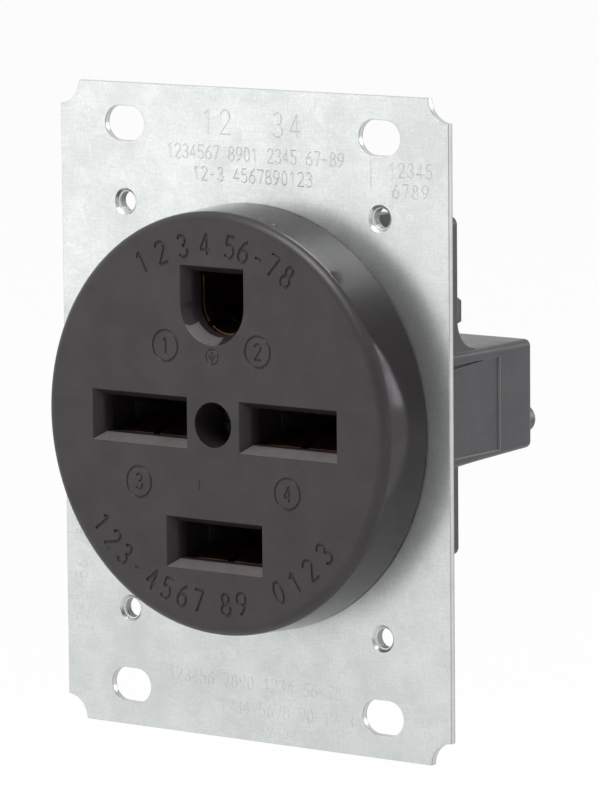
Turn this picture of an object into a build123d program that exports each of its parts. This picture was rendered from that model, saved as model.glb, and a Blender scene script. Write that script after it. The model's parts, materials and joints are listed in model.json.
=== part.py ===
from build123d import *
import os
from math import atan, cos, degrees, radians, sin, tan

# Flush mount receptacle, three poles and ground, in millimetres.
# +X is right and +Z is up as mounted, and the plug comes in along +Y.
# The origin is the centre of the box-screw pattern, on the strap's rear face, so depth is Y.

# Mounting strap
strap_width = 69.85
strap_height = 95.25
strap_thickness = 1.0
corner_notch_radius = 3.45
box_screw_pitch_x = 46.0
box_screw_pitch_z = 83.3
box_slot_length = 7.3
box_slot_width = 5.1
plate_screw_pitch_z = 60.3
tapped_hole_radius = 1.45
tapped_mouth_radius = 2.0
tapped_collar_radius = 2.5
tapped_collar_height = 0.9
strap_cutout_radius = 1.5

# Face cover
face_height = 9.4
face_flat_radius = 29.2
face_rim_fillet = 1.5
face_side_draft = 0.4
face_wall = 3.6
face_foot_rebate = 0.3

# Blade slots and the ground slot, inside their bevels
blade_slot_width = 15.4
blade_slot_height = 5.45
slot_bevel = 1.0
slot_bevel_depth = 2.0
side_slot_x = 13.4
lower_slot_z = 17.55
ground_slot_radius = 4.73
ground_slot_z = 17.2
ground_slot_rise = 4.6

# Rear body
flange_depth = 7.0
flange_limb_half_height = 18.4
flange_limb_half_width = 16.0
flange_reach = 30.2
flange_corner = 1.15
arm_depth = 25.2
arm_rise = 11.1
arm_bottom_draft = 3.0
arm_top_draft = 0.5
arm_corner = 1.0
arm_rear_edge = 0.8
arm_gusset_radius = 4.4
arm_step = 0.35
chamber_depth = 13.0
chamber_floor = 2.2
chamber_wall = 2.45
neck_wall = 1.6
pocket_wall = 1.25
panel_depth = 0.25
panel_length = 17.0
panel_low = 4.4
panel_high = 9.1
panel_groove = 0.7
panel_groove_length = 14.5
panel_groove_height = 1.1

# Line contacts: half gaps between the leaves, and where along the depth they are
contact_thickness = 1.0
contact_width = 13.0
contact_mouth_gap = 2.7
contact_pinch_gap = 0.8
contact_body_gap = 2.0
contact_pinch_depth = 5.0
contact_body_depth = 11.3
contact_slit = 1.2
spring_thickness = 0.5
spring_width = 9.0
tab_width = 4.1
tab_strip_height = 3.0

# Terminals
terminal_drop = 1.5
lug_height = 5.4
lug_wall = 0.7
lug_tapped_wall = 2.4
wire_space = 4.4
wire_stub = 6.3
pressure_plate_thickness = 0.8
pressure_plate_travel = 0.9
line_screw_radius = 2.05
line_screw_stand = 4.3
line_screw_slot_width = 0.9
line_screw_slot_depth = 1.3

# Ground path
ground_sheet = 1.0
ground_gap_radius = 4.4
ground_wing_half_width = 2.6
ground_slit = 0.8
ground_spring_width = 7.2
ground_spring_bow = 1.75
ground_screw_inset = 3.9
ground_screw_z = 16.4
ground_screw_radius = 2.05
ground_screw_head_flats = 5.2
ground_screw_head_height = 2.0
ground_collar_wall = 0.85
ground_collar_height = 1.8
ground_plate_side = 5.8
ground_plate_thickness = 0.8

# Centre screw, its nut, and the strap rivets
centre_hole_radius = 3.3
centre_seat_depth = 7.6
centre_screw_radius = 1.75
centre_head_radius = 2.9
centre_head_height = 1.6
nut_side = 6.9
nut_height = 3.0
nut_recess = 4.0
rivet_angle = 36.0
rivet_rim_gap = 3.4
rivet_radius = 1.4
rivet_head_radius = 2.2
rivet_front_head = 0.9
rivet_rear_head = 1.0

# Clearances
fit = 0.05
slip = 0.15
loose = 0.35

# Depths that follow: the front is negative, the rear positive
strap_front = -strap_thickness
face_front = strap_front - face_height
face_floor = face_front + face_wall
contact_mouth = face_floor + loose
contact_base = chamber_depth - spring_thickness - contact_thickness
tab_rear = contact_base + contact_thickness
lug_front = contact_base - slip - lug_wall
plate_front = tab_rear + wire_space
plate_rear = plate_front + pressure_plate_thickness
lug_window_rear = plate_rear + pressure_plate_travel
lug_rear = lug_window_rear + lug_tapped_wall
line_screw_rear = arm_depth + line_screw_stand
centre_seat = face_front + centre_seat_depth

# Half sizes that follow
contact_half_height = contact_body_gap + contact_thickness
chamber_half_height = contact_half_height + fit + spring_thickness + loose
chamber_half_width = blade_slot_width / 2 + loose + slip
ground_outer_radius = ground_gap_radius + ground_sheet
ground_chamber_radius = ground_outer_radius + loose + fit
ground_sheet_rise = ground_slot_rise - 0.6 * ground_sheet
ground_chamber_rise = ground_slot_rise + ground_sheet
tab_half_width = tab_width / 2
lug_window_half_width = tab_half_width + 2 * fit
lug_half_width = lug_window_half_width + lug_wall
pocket_half_width = lug_half_width + slip
lug_half_height = lug_height / 2
tab_low = lug_half_height - terminal_drop + slip + slip
tab_high = tab_low + tab_strip_height
wire_half_width = lug_window_half_width
clear_hole_radius = line_screw_radius + loose + slip

# The rear body is as wide as the face, and each terminal's reach from its blade slot follows
face_foot_radius = face_flat_radius + face_rim_fillet + face_side_draft
arm_half_length = face_foot_radius - fit
terminal_reach = arm_half_length - pocket_wall - pocket_half_width - side_slot_x
flange_half_width = arm_half_length - arm_step
arm_fall = chamber_half_height + chamber_wall
arm_rear_fall = arm_fall - arm_depth * tan(radians(arm_bottom_draft))
arm_rear_rise = arm_rise - arm_depth * tan(radians(arm_top_draft))
ground_block_half_width = ground_chamber_radius + chamber_floor
ground_block_top = ground_slot_z + ground_chamber_rise + chamber_floor
ground_block_depth = chamber_depth + chamber_floor
cutout_reach = ground_slot_z + ground_chamber_rise + neck_wall + loose
cutout_half_height = chamber_half_height + 2 * neck_wall
cutout_half_width = chamber_half_width + neck_wall
ground_screw_x = flange_half_width - ground_screw_inset
plate_screw_clear_radius = tapped_collar_radius + loose + slip
notch_depth = flange_reach - plate_screw_pitch_z / 2 + plate_screw_clear_radius
rivet_ring_radius = face_foot_radius - rivet_rim_gap - rivet_head_radius
rivet_x = rivet_ring_radius * cos(radians(rivet_angle))
rivet_z = rivet_ring_radius * sin(radians(rivet_angle))

# Blade places: name, slot centre in X and Z, and the side that its terminal lies on
blades = [
    ("left", -side_slot_x, 0.0, -1),
    ("right", side_slot_x, 0.0, 1),
    ("lower", 0.0, -lower_slot_z, -1),
]


def at_depth(depth):
    """Plane parallel to the strap; a negative extrusion from it runs to the rear."""
    return Plane.XZ.offset(-depth)


def cross_sketch(clearance):
    """Plus-shaped cutout of the strap, drawn smaller by the clearance."""
    reach = 2 * (cutout_reach - clearance)
    Rectangle(reach, 2 * (cutout_half_height - clearance))
    Rectangle(2 * (cutout_half_width - clearance), reach)


def ground_outline(radius, rise):
    """U outline: flat top, straight sides and a half-round bottom."""
    with BuildSketch() as outline:
        with BuildLine():
            bottom = CenterArc((0, ground_slot_z), radius, 180, 180)
            Polyline(
                bottom @ 1,
                (radius, ground_slot_z + rise),
                (-radius, ground_slot_z + rise),
                bottom @ 0,
            )
        make_face()
    return outline.sketch


def leaf_outline(stations, thickness, base, centre_z):
    """Section of a strip bent to a U, from its two mouths to its flat base."""
    last_gap = stations[-1][1]
    inner = stations + [(base, last_gap)]
    outer = [(depth, gap + thickness) for depth, gap in stations]
    outer.append((base + thickness, last_gap + thickness))
    half = inner[::-1] + outer
    mirrored = [(depth, -height) for depth, height in half[::-1]]
    return [(depth, centre_z + height) for depth, height in half + mirrored]


def make_strap():
    """Flat strap with notched corners, slots, tapped holes and a plus-shaped cutout."""
    with BuildPart() as strap:
        with BuildSketch(at_depth(strap_front)):
            Rectangle(strap_width, strap_height)
            with GridLocations(strap_width, strap_height, 2, 2):
                Circle(corner_notch_radius, mode=Mode.SUBTRACT)
            with GridLocations(box_screw_pitch_x, box_screw_pitch_z, 2, 2):
                SlotOverall(box_slot_length, box_slot_width, mode=Mode.SUBTRACT)
            with GridLocations(2 * rivet_x, 2 * rivet_z, 2, 2):
                Circle(rivet_radius + fit, mode=Mode.SUBTRACT)
        extrude(amount=-strap_thickness)
        with BuildSketch(at_depth(strap_front)) as cutout:
            cross_sketch(0)
            fillet(cutout.vertices(), strap_cutout_radius)
        extrude(amount=-strap_thickness, mode=Mode.SUBTRACT)
        # Each tapped hole is drawn through: a rounded mouth in front and a collar behind
        with BuildSketch(at_depth(0)):
            with GridLocations(box_screw_pitch_x, plate_screw_pitch_z, 2, 2):
                Circle(tapped_collar_radius)
        extrude(amount=-tapped_collar_height)
        with BuildSketch(at_depth(strap_front)):
            with GridLocations(box_screw_pitch_x, plate_screw_pitch_z, 2, 2):
                Circle(tapped_hole_radius)
        extrude(amount=-(strap_thickness + tapped_collar_height), mode=Mode.SUBTRACT)
        mouth_depth = tapped_mouth_radius - tapped_hole_radius
        with BuildSketch(at_depth(strap_front)):
            with GridLocations(box_screw_pitch_x, plate_screw_pitch_z, 2, 2):
                Circle(tapped_mouth_radius)
        extrude(amount=-mouth_depth, taper=45, mode=Mode.SUBTRACT)
    return strap.part


def make_face_cover():
    """Round moulded face, with a well behind each slot for the contact's mouth."""
    rim_radius = face_flat_radius + face_rim_fillet
    with BuildPart() as cover:
        with BuildSketch(Plane.XY):
            with BuildLine():
                Polyline(
                    (0, strap_front),
                    (0, face_front),
                    (face_flat_radius, face_front),
                )
                edge = RadiusArc(
                    (face_flat_radius, face_front),
                    (rim_radius, face_front + face_rim_fillet),
                    -face_rim_fillet,
                )
                Polyline(
                    edge @ 1,
                    (face_foot_radius, strap_front - face_foot_rebate),
                    (face_foot_radius - face_foot_rebate, strap_front),
                    (0, strap_front),
                )
            make_face()
        revolve(axis=Axis.Y)
        # Pockets for the rivets' front heads
        with BuildSketch(at_depth(strap_front)):
            with GridLocations(2 * rivet_x, 2 * rivet_z, 2, 2):
                Circle(rivet_head_radius + loose)
        extrude(amount=rivet_front_head + loose, mode=Mode.SUBTRACT)
        well_depth = strap_front - face_floor
        for _, slot_x, slot_z, _ in blades:
            with BuildSketch(at_depth(face_floor)):
                with Locations((slot_x, slot_z)):
                    Rectangle(2 * chamber_half_width, 2 * chamber_half_height)
            extrude(amount=-well_depth, mode=Mode.SUBTRACT)
            with BuildSketch(at_depth(face_front)):
                with Locations((slot_x, slot_z)):
                    Rectangle(blade_slot_width, blade_slot_height)
            extrude(amount=-face_wall, mode=Mode.SUBTRACT)
            with BuildSketch(at_depth(face_front)):
                with Locations((slot_x, slot_z)):
                    Rectangle(blade_slot_width + 2 * slot_bevel, blade_slot_height + 2 * slot_bevel)
            bevel_angle = degrees(atan(slot_bevel / slot_bevel_depth))
            extrude(amount=-slot_bevel_depth, taper=bevel_angle, mode=Mode.SUBTRACT)
        with BuildSketch(at_depth(face_floor)):
            add(ground_outline(ground_chamber_radius, ground_chamber_rise))
        extrude(amount=-well_depth, mode=Mode.SUBTRACT)
        with BuildSketch(at_depth(face_front)):
            add(ground_outline(ground_slot_radius, ground_slot_rise))
        extrude(amount=-face_wall, mode=Mode.SUBTRACT)
        with BuildSketch(at_depth(face_front)):
            add(ground_outline(ground_slot_radius + slot_bevel, ground_slot_rise + slot_bevel))
        extrude(amount=-slot_bevel_depth, taper=bevel_angle, mode=Mode.SUBTRACT)
        with BuildSketch(at_depth(face_front)):
            Circle(centre_hole_radius)
        extrude(amount=-centre_seat_depth, mode=Mode.SUBTRACT)
        with BuildSketch(at_depth(face_front)):
            Circle(centre_screw_radius + slip)
        extrude(amount=-face_height, mode=Mode.SUBTRACT)
    return cover.part


def terminal_hollow(slot_x, slot_z, side):
    """One contact chamber with its tab channel, lug pocket, wire way and screw hole."""
    wire_x = slot_x + side * terminal_reach
    lug_z = slot_z - terminal_drop
    lug_low = lug_z - lug_half_height
    channel_half_width = tab_half_width + slip
    channel_end = side * (terminal_reach + channel_half_width)
    pocket_low = slot_z - arm_fall - loose
    pocket_top = lug_z + lug_half_height + fit
    with BuildPart() as hollow:
        with BuildSketch(at_depth(strap_front)):
            with Locations((slot_x, slot_z)):
                Rectangle(2 * chamber_half_width, 2 * chamber_half_height)
        extrude(amount=-(chamber_depth - strap_front))
        # The contact's tab drops in from the front, across and then down beside the wire
        with BuildSketch(at_depth(strap_front)):
            with Locations((slot_x + channel_end / 2, slot_z + (tab_low + tab_high) / 2)):
                Rectangle(abs(channel_end), tab_strip_height + 2 * slip)
            with Locations((wire_x, (lug_low + slot_z + tab_high) / 2)):
                Rectangle(2 * channel_half_width, slot_z + tab_high - lug_low + 2 * slip)
        extrude(amount=-(tab_rear + slip - strap_front))
        with BuildSketch(Plane.XY.offset(pocket_low)):
            with Locations((wire_x, (lug_front + lug_rear) / 2)):
                Rectangle(2 * pocket_half_width, lug_rear - lug_front + 2 * slip)
        extrude(amount=pocket_top - pocket_low)
        with BuildSketch(Plane.XY.offset(pocket_top)):
            with Locations((wire_x, (tab_rear + plate_rear) / 2)):
                Rectangle(2 * wire_half_width, plate_rear - tab_rear + 2 * slip)
        extrude(amount=wire_stub)
        with BuildSketch(at_depth(lug_rear)):
            with Locations((wire_x, lug_z)):
                Circle(clear_hole_radius)
        extrude(amount=-(arm_depth - lug_rear))
    return hollow.part


def make_base():
    """Moulded rear body: plus-shaped flange, deep arms, and pockets for all it carries."""
    lower_end = terminal_reach + pocket_half_width + pocket_wall
    lower_side = chamber_half_width + chamber_wall
    lower_width = lower_end + lower_side
    lower_x = (lower_side - lower_end) / 2
    rear_bottom_shift = arm_fall - arm_rear_fall
    gusset_depth = flange_depth + arm_gusset_radius
    gusset_drop = gusset_depth * tan(radians(arm_top_draft))
    gusset_height = arm_rise - gusset_drop + arm_gusset_radius
    hollows = [terminal_hollow(slot_x, slot_z, side) for _, slot_x, slot_z, side in blades]
    with BuildPart() as base:
        with BuildSketch(at_depth(0)) as flange:
            Rectangle(2 * flange_half_width, 2 * flange_limb_half_height)
            Rectangle(2 * flange_limb_half_width, 2 * flange_reach)
            Rectangle(flange_half_width, flange_reach, align=(Align.MIN, Align.MIN))
            fillet(flange.vertices(), flange_corner)
        extrude(amount=-flange_depth)
        with BuildSketch(at_depth(strap_front)) as neck:
            cross_sketch(fit + slip)
            fillet(neck.vertices(), strap_cutout_radius)
        extrude(amount=-strap_thickness)
        # The cross arm and the lower arm taper to the rear
        with BuildSketch(at_depth(0)):
            with Locations((0, (arm_rise - arm_fall) / 2)):
                RectangleRounded(2 * arm_half_length, arm_rise + arm_fall, arm_corner)
        with BuildSketch(at_depth(arm_depth)):
            with Locations((0, (arm_rear_rise - arm_rear_fall) / 2)):
                RectangleRounded(2 * arm_half_length, arm_rear_rise + arm_rear_fall, arm_corner)
        loft()
        lower_bottom = lower_slot_z + arm_fall
        with BuildSketch(at_depth(0)):
            with Locations((lower_x, -lower_bottom / 2)):
                RectangleRounded(lower_width, lower_bottom, arm_corner)
        with BuildSketch(at_depth(arm_depth)):
            with Locations((lower_x, -(lower_bottom - rear_bottom_shift) / 2)):
                RectangleRounded(lower_width, lower_bottom - rear_bottom_shift, arm_corner)
        loft()
        rear_face = base.faces().filter_by(Axis.Y).sort_by(Axis.Y)[-1]
        fillet(rear_face.edges(), arm_rear_edge)
        ground_draft = arm_step
        with BuildSketch(at_depth(0)):
            with Locations((0, ground_block_top / 2)):
                RectangleRounded(2 * ground_block_half_width, ground_block_top, arm_corner)
        with BuildSketch(at_depth(ground_block_depth)):
            with Locations((0, (ground_block_top - ground_draft) / 2)):
                RectangleRounded(
                    2 * (ground_block_half_width - ground_draft),
                    ground_block_top - ground_draft,
                    arm_corner,
                )
        loft()
        # Rounded root between the flange and the top of the cross arm
        with BuildSketch(Plane.YZ.offset(-flange_half_width)):
            with BuildLine():
                root = CenterArc((gusset_depth, gusset_height), arm_gusset_radius, 180, 90)
                Polyline(
                    root @ 1,
                    (gusset_depth, 0),
                    (flange_depth / 2, 0),
                    (flange_depth / 2, gusset_height),
                    root @ 0,
                )
            make_face()
        extrude(amount=2 * flange_half_width)
        for hollow in hollows:
            add(hollow, mode=Mode.SUBTRACT)
        # Ground chamber, and the slots that its wings lie in
        with BuildSketch(at_depth(strap_front)):
            add(ground_outline(ground_chamber_radius, ground_chamber_rise))
        extrude(amount=-(chamber_depth - strap_front), mode=Mode.SUBTRACT)
        with BuildSketch(at_depth(strap_front)):
            wing_sketch(slip)
        extrude(amount=-(ground_sheet - strap_front), mode=Mode.SUBTRACT)
        with BuildSketch(at_depth(0)):
            with Locations((ground_screw_x, ground_screw_z)):
                Circle(ground_screw_radius + ground_collar_wall + slip)
        extrude(amount=-(ground_sheet + ground_collar_height + slip), mode=Mode.SUBTRACT)
        with BuildSketch(at_depth(0)):
            with Locations((ground_screw_x, ground_screw_z)):
                Circle(ground_screw_radius + slip)
            with Locations((box_screw_pitch_x / 2, flange_reach)):
                Rectangle(2 * plate_screw_clear_radius, 2 * notch_depth)
            with GridLocations(2 * rivet_x, 2 * rivet_z, 2, 2):
                Circle(rivet_radius + fit)
        extrude(amount=-flange_depth, mode=Mode.SUBTRACT)
        # Spot faces for the rivets' rear heads and for the ground plate
        seat_side = ground_plate_side + 2 * slip
        with BuildSketch(at_depth(flange_depth)):
            with Locations((ground_screw_x, ground_screw_z)):
                Rectangle(seat_side, seat_side)
            with GridLocations(2 * rivet_x, 2 * rivet_z, 2, 2):
                Circle(rivet_head_radius + loose)
        extrude(amount=-arm_gusset_radius, mode=Mode.SUBTRACT)
        with BuildSketch(at_depth(strap_front)):
            Circle(centre_screw_radius + slip)
        extrude(amount=-(arm_depth - strap_front), mode=Mode.SUBTRACT)
        with BuildSketch(at_depth(arm_depth - nut_recess)):
            Rectangle(nut_side + 2 * slip, nut_side + 2 * slip)
        extrude(amount=-nut_recess, mode=Mode.SUBTRACT)
        # A shallow panel on each end of the cross arm, with a groove that deepens to the front
        for side in (-1, 1):
            panel_face = side * arm_half_length
            with BuildSketch(Plane.YZ.offset(panel_face)):
                with Locations((panel_length / 2, (panel_high - panel_low) / 2)):
                    Rectangle(panel_length, panel_high + panel_low)
            extrude(amount=-side * panel_depth, mode=Mode.SUBTRACT)
            with BuildSketch(Plane.YZ.offset(panel_face)):
                with BuildLine():
                    Polyline(
                        (0, panel_high),
                        (panel_groove_length, panel_high),
                        (0, panel_high - panel_groove_height),
                        close=True,
                    )
                make_face()
            extrude(amount=-side * panel_groove, mode=Mode.SUBTRACT)
    return base.part


def wing_sketch(clearance):
    """Both wings of the ground contact, drawn larger by the clearance."""
    wing_low = rivet_z - ground_wing_half_width
    left_end = rivet_x + rivet_head_radius + slip
    right_end = ground_screw_x + ground_screw_radius + ground_collar_wall + slip
    right_top = ground_screw_z + ground_screw_radius + ground_collar_wall
    wings = [(-left_end, rivet_z + ground_wing_half_width), (right_end, right_top)]
    for end_x, top_z in wings:
        grown_end = end_x + (clearance if end_x > 0 else -clearance)
        with Locations((grown_end / 2, (wing_low + top_z) / 2)):
            Rectangle(abs(grown_end), top_z - wing_low + 2 * clearance)


def make_line_contact(slot_x, slot_z, side):
    """Two sprung leaves on one base, and a flat tab that reaches into the lug."""
    stations = [
        (contact_mouth, contact_mouth_gap),
        (contact_mouth + contact_pinch_depth, contact_pinch_gap),
        (contact_mouth + contact_body_depth, contact_body_gap),
    ]
    wire_x = slot_x + side * terminal_reach
    lug_low = slot_z - terminal_drop - lug_half_height
    outer_bend = 1.2 * contact_thickness
    inner_bend = 0.4 * contact_thickness
    with BuildPart() as contact:
        with BuildSketch(Plane.YZ.offset(slot_x - contact_width / 2)):
            with BuildLine():
                Polyline(
                    *leaf_outline(stations, contact_thickness, contact_base, slot_z),
                    close=True,
                )
            make_face()
        extrude(amount=contact_width)
        bends = contact.edges().filter_by(Axis.X).group_by(Axis.Y)
        fillet(bends[-1], outer_bend)
        fillet(bends[-2], inner_bend)
        fillet(bends[1], outer_bend)
        # A slit parts each leaf into two fingers
        with BuildSketch(at_depth(contact_mouth)):
            with Locations((slot_x, slot_z)):
                Rectangle(contact_slit, 2 * chamber_half_height)
        extrude(amount=-contact_body_depth, mode=Mode.SUBTRACT)
        strip_length = contact_width / 2 - terminal_reach - tab_half_width - outer_bend
        strip_x = slot_x + side * (terminal_reach + tab_half_width + strip_length / 2)
        with BuildSketch(at_depth(contact_base)):
            with Locations((strip_x, slot_z + (tab_low + tab_high) / 2)):
                Rectangle(abs(strip_length), tab_strip_height)
            with Locations((wire_x, (lug_low + slot_z + tab_high) / 2)):
                Rectangle(tab_width, slot_z + tab_high - lug_low)
        extrude(amount=-contact_thickness)
    return contact.part


def make_contact_spring(slot_x, slot_z):
    """Steel U that stands behind the contact and presses its leaves together."""
    first_gap = contact_pinch_gap + contact_thickness + fit
    last_gap = contact_half_height + fit
    stations = [
        (contact_mouth + contact_pinch_depth, first_gap),
        (contact_mouth + contact_body_depth, last_gap),
    ]
    with BuildPart() as spring:
        with BuildSketch(Plane.YZ.offset(slot_x - spring_width / 2)):
            with BuildLine():
                Polyline(
                    *leaf_outline(stations, spring_thickness, tab_rear, slot_z),
                    close=True,
                )
            make_face()
        extrude(amount=spring_width)
    return spring.part


def make_lug(slot_x, slot_z, side):
    """Box lug: a wire window from top to bottom and a thick tapped wall behind it."""
    wire_x = slot_x + side * terminal_reach
    lug_z = slot_z - terminal_drop
    with BuildPart() as lug:
        with BuildSketch(Plane.XY.offset(lug_z - lug_half_height)) as section:
            with Locations((wire_x, (lug_front + lug_rear) / 2)):
                RectangleRounded(2 * lug_half_width, lug_rear - lug_front, lug_wall)
            window_front = lug_front + lug_wall
            with Locations((wire_x, (window_front + lug_window_rear) / 2)):
                Rectangle(
                    2 * lug_window_half_width,
                    lug_window_rear - window_front,
                    mode=Mode.SUBTRACT,
                )
        extrude(amount=lug_height)
        with BuildSketch(at_depth(lug_window_rear)):
            with Locations((wire_x, lug_z)):
                Circle(line_screw_radius + fit)
        extrude(amount=-lug_tapped_wall, mode=Mode.SUBTRACT)
    return lug.part


def make_pressure_plate(slot_x, slot_z, side):
    """Saddle under the screw's tip, hollowed along the wire."""
    wire_x = slot_x + side * terminal_reach
    lug_z = slot_z - terminal_drop
    plate_height = lug_height - 2 * slip
    groove_radius = 2 * tab_width
    groove_depth = pressure_plate_thickness / 3
    with BuildPart() as plate:
        with BuildSketch(Plane.XY.offset(lug_z - plate_height / 2)):
            with Locations((wire_x, (plate_front + plate_rear) / 2)):
                Rectangle(tab_width, pressure_plate_thickness)
            with Locations((wire_x, plate_front + groove_depth - groove_radius)):
                Circle(groove_radius, mode=Mode.SUBTRACT)
        extrude(amount=plate_height)
    return plate.part


def make_line_screw(slot_x, slot_z, side):
    """Headless slotted terminal screw that stands out of the rear face."""
    wire_x = slot_x + side * terminal_reach
    lug_z = slot_z - terminal_drop
    point = line_screw_radius / 5
    with BuildPart() as screw:
        with BuildSketch(at_depth(plate_rear)):
            with Locations((wire_x, lug_z)):
                Circle(line_screw_radius)
        extrude(amount=-(line_screw_rear - plate_rear))
        chamfer(screw.edges().filter_by(GeomType.CIRCLE), point)
        with BuildSketch(at_depth(line_screw_rear - line_screw_slot_depth)):
            with Locations((wire_x, lug_z)):
                Rectangle(line_screw_slot_width, 2 * line_screw_radius)
        extrude(amount=-line_screw_slot_depth, mode=Mode.SUBTRACT)
    return screw.part


def make_ground_contact():
    """U-shaped trough with fingers, an end wall, and two wings under the strap."""
    with BuildPart() as contact:
        with BuildSketch(at_depth(contact_mouth)):
            add(ground_outline(ground_outer_radius, ground_sheet_rise))
        extrude(amount=-(chamber_depth - contact_mouth))
        with BuildSketch(at_depth(0)):
            wing_sketch(0)
        extrude(amount=-ground_sheet)
        with BuildSketch(at_depth(0)):
            with Locations((ground_screw_x, ground_screw_z)):
                Circle(ground_screw_radius + ground_collar_wall)
        extrude(amount=-(ground_sheet + ground_collar_height))
        with BuildSketch(at_depth(0)):
            with Locations((ground_screw_x, ground_screw_z)):
                Circle(ground_screw_radius + fit)
            with Locations((-rivet_x, rivet_z), (rivet_x, rivet_z)):
                Circle(rivet_radius + fit)
        extrude(amount=-(ground_sheet + ground_collar_height), mode=Mode.SUBTRACT)
        with BuildSketch(at_depth(contact_mouth)):
            add(ground_outline(ground_gap_radius, ground_sheet_rise))
        extrude(amount=-(chamber_depth - ground_sheet - contact_mouth), mode=Mode.SUBTRACT)
        finger_length = -contact_mouth - ground_sheet
        with BuildSketch(at_depth(contact_mouth)):
            for angle in (-135, -45):
                slit_x = ground_outer_radius * cos(radians(angle))
                slit_z = ground_slot_z + ground_outer_radius * sin(radians(angle))
                with Locations(Location((slit_x, slit_z, 0), angle)):
                    Rectangle(4 * ground_sheet, ground_slit)
        extrude(amount=-finger_length, mode=Mode.SUBTRACT)
    return contact.part


def make_ground_spring():
    """Bowed leaf against the chamber's roof that presses the ground pin down."""
    roof = ground_slot_z + ground_chamber_rise - fit
    front = contact_mouth + loose
    rear = contact_base - ground_sheet
    middle = (front + rear) / 2
    under = roof - spring_thickness
    with BuildPart() as spring:
        with BuildSketch(Plane.YZ.offset(-ground_spring_width / 2)):
            with BuildLine():
                ThreePointArc((front, roof), (middle, roof - ground_spring_bow), (rear, roof))
                Line((rear, roof), (rear, under))
                ThreePointArc((rear, under), (middle, under - ground_spring_bow), (front, under))
                Line((front, under), (front, roof))
            make_face()
        extrude(amount=ground_spring_width)
    return spring.part


def make_ground_plate():
    """Square plate that the ground wire is clamped on, on the flange's rear face."""
    with BuildPart() as plate:
        with BuildSketch(at_depth(flange_depth)):
            with Locations((ground_screw_x, ground_screw_z)):
                RectangleRounded(ground_plate_side, ground_plate_side, ground_plate_thickness)
                Circle(ground_screw_radius + slip, mode=Mode.SUBTRACT)
        extrude(amount=-ground_plate_thickness)
    return plate.part


def make_ground_screw():
    """Hexagonal head with a slot, and a shank that reaches the ground contact's collar."""
    head_front = flange_depth + ground_plate_thickness
    head_corner = ground_screw_head_flats / 2 / cos(radians(30))
    slot_depth = ground_screw_head_height / 2
    head_rear = head_front + ground_screw_head_height
    with BuildPart() as screw:
        with BuildSketch(at_depth(head_front)):
            with Locations((ground_screw_x, ground_screw_z)):
                RegularPolygon(head_corner, 6, rotation=30)
        extrude(amount=-ground_screw_head_height)
        with BuildSketch(at_depth(fit)):
            with Locations((ground_screw_x, ground_screw_z)):
                Circle(ground_screw_radius)
        extrude(amount=-(head_front - fit))
        with BuildSketch(at_depth(head_rear - slot_depth)):
            with Locations((ground_screw_x, ground_screw_z)):
                Rectangle(line_screw_slot_width, 3 * ground_screw_radius)
        extrude(amount=-slot_depth, mode=Mode.SUBTRACT)
    return screw.part


def make_centre_screw():
    """Slotted screw at the bottom of the centre hole, through the face and the base."""
    head_front = centre_seat - centre_head_height
    shank_end = arm_depth - nut_recess + nut_height + slip
    with BuildPart() as screw:
        with BuildSketch(at_depth(head_front)):
            Circle(centre_head_radius)
        extrude(amount=-centre_head_height)
        chamfer(screw.edges().group_by(Axis.Y)[0], centre_head_height / 5)
        with BuildSketch(at_depth(head_front)):
            Rectangle(2 * centre_head_radius, line_screw_slot_width)
        extrude(amount=-centre_head_height / 2, mode=Mode.SUBTRACT)
        with BuildSketch(at_depth(centre_seat)):
            Circle(centre_screw_radius)
        extrude(amount=-(shank_end - centre_seat))
    return screw.part


def make_centre_nut():
    """Square nut held from turning in a pocket of the rear face."""
    with BuildPart() as nut:
        with BuildSketch(at_depth(arm_depth - nut_recess)):
            Rectangle(nut_side, nut_side)
        extrude(amount=-nut_height)
        chamfer(nut.faces().sort_by(Axis.Y)[-1].edges(), nut_height / 8)
        with BuildSketch(at_depth(arm_depth - nut_recess)):
            Circle(centre_screw_radius + fit)
        extrude(amount=-nut_height, mode=Mode.SUBTRACT)
    return nut.part


def make_rivet(place_x, place_z):
    """Rivet with a domed front head on the strap and a rolled head behind the flange."""
    with BuildPart() as rivet:
        with BuildSketch(at_depth(strap_front)):
            with Locations((place_x, place_z)):
                Circle(rivet_radius)
        extrude(amount=-(flange_depth - strap_front))
        with BuildSketch(at_depth(strap_front)):
            with Locations((place_x, place_z)):
                Circle(rivet_head_radius)
        extrude(amount=rivet_front_head)
        fillet(rivet.edges().group_by(Axis.Y)[0], rivet_front_head / 2)
        with BuildSketch(at_depth(flange_depth)):
            with Locations((place_x, place_z)):
                Circle(rivet_head_radius)
        extrude(amount=-rivet_rear_head)
        fillet(rivet.edges().group_by(Axis.Y)[-1], rivet_rear_head / 2)
    return rivet.part


pieces = {
    "mounting_strap": make_strap(),
    "face_cover": make_face_cover(),
    "base_housing": make_base(),
    "ground_contact": make_ground_contact(),
    "ground_spring": make_ground_spring(),
    "ground_plate": make_ground_plate(),
    "ground_screw": make_ground_screw(),
    "centre_screw": make_centre_screw(),
    "centre_nut": make_centre_nut(),
}
for blade_name, blade_x, blade_z, blade_side in blades:
    pieces["line_contact_" + blade_name] = make_line_contact(blade_x, blade_z, blade_side)
    pieces["contact_spring_" + blade_name] = make_contact_spring(blade_x, blade_z)
    pieces["terminal_lug_" + blade_name] = make_lug(blade_x, blade_z, blade_side)
    pieces["pressure_plate_" + blade_name] = make_pressure_plate(blade_x, blade_z, blade_side)
    pieces["line_screw_" + blade_name] = make_line_screw(blade_x, blade_z, blade_side)
rivet_corners = [(-1, 1), (1, 1), (-1, -1), (1, -1)]
for rivet_number, (sign_x, sign_z) in enumerate(rivet_corners, start=1):
    pieces["strap_rivet_" + str(rivet_number)] = make_rivet(sign_x * rivet_x, sign_z * rivet_z)

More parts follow.
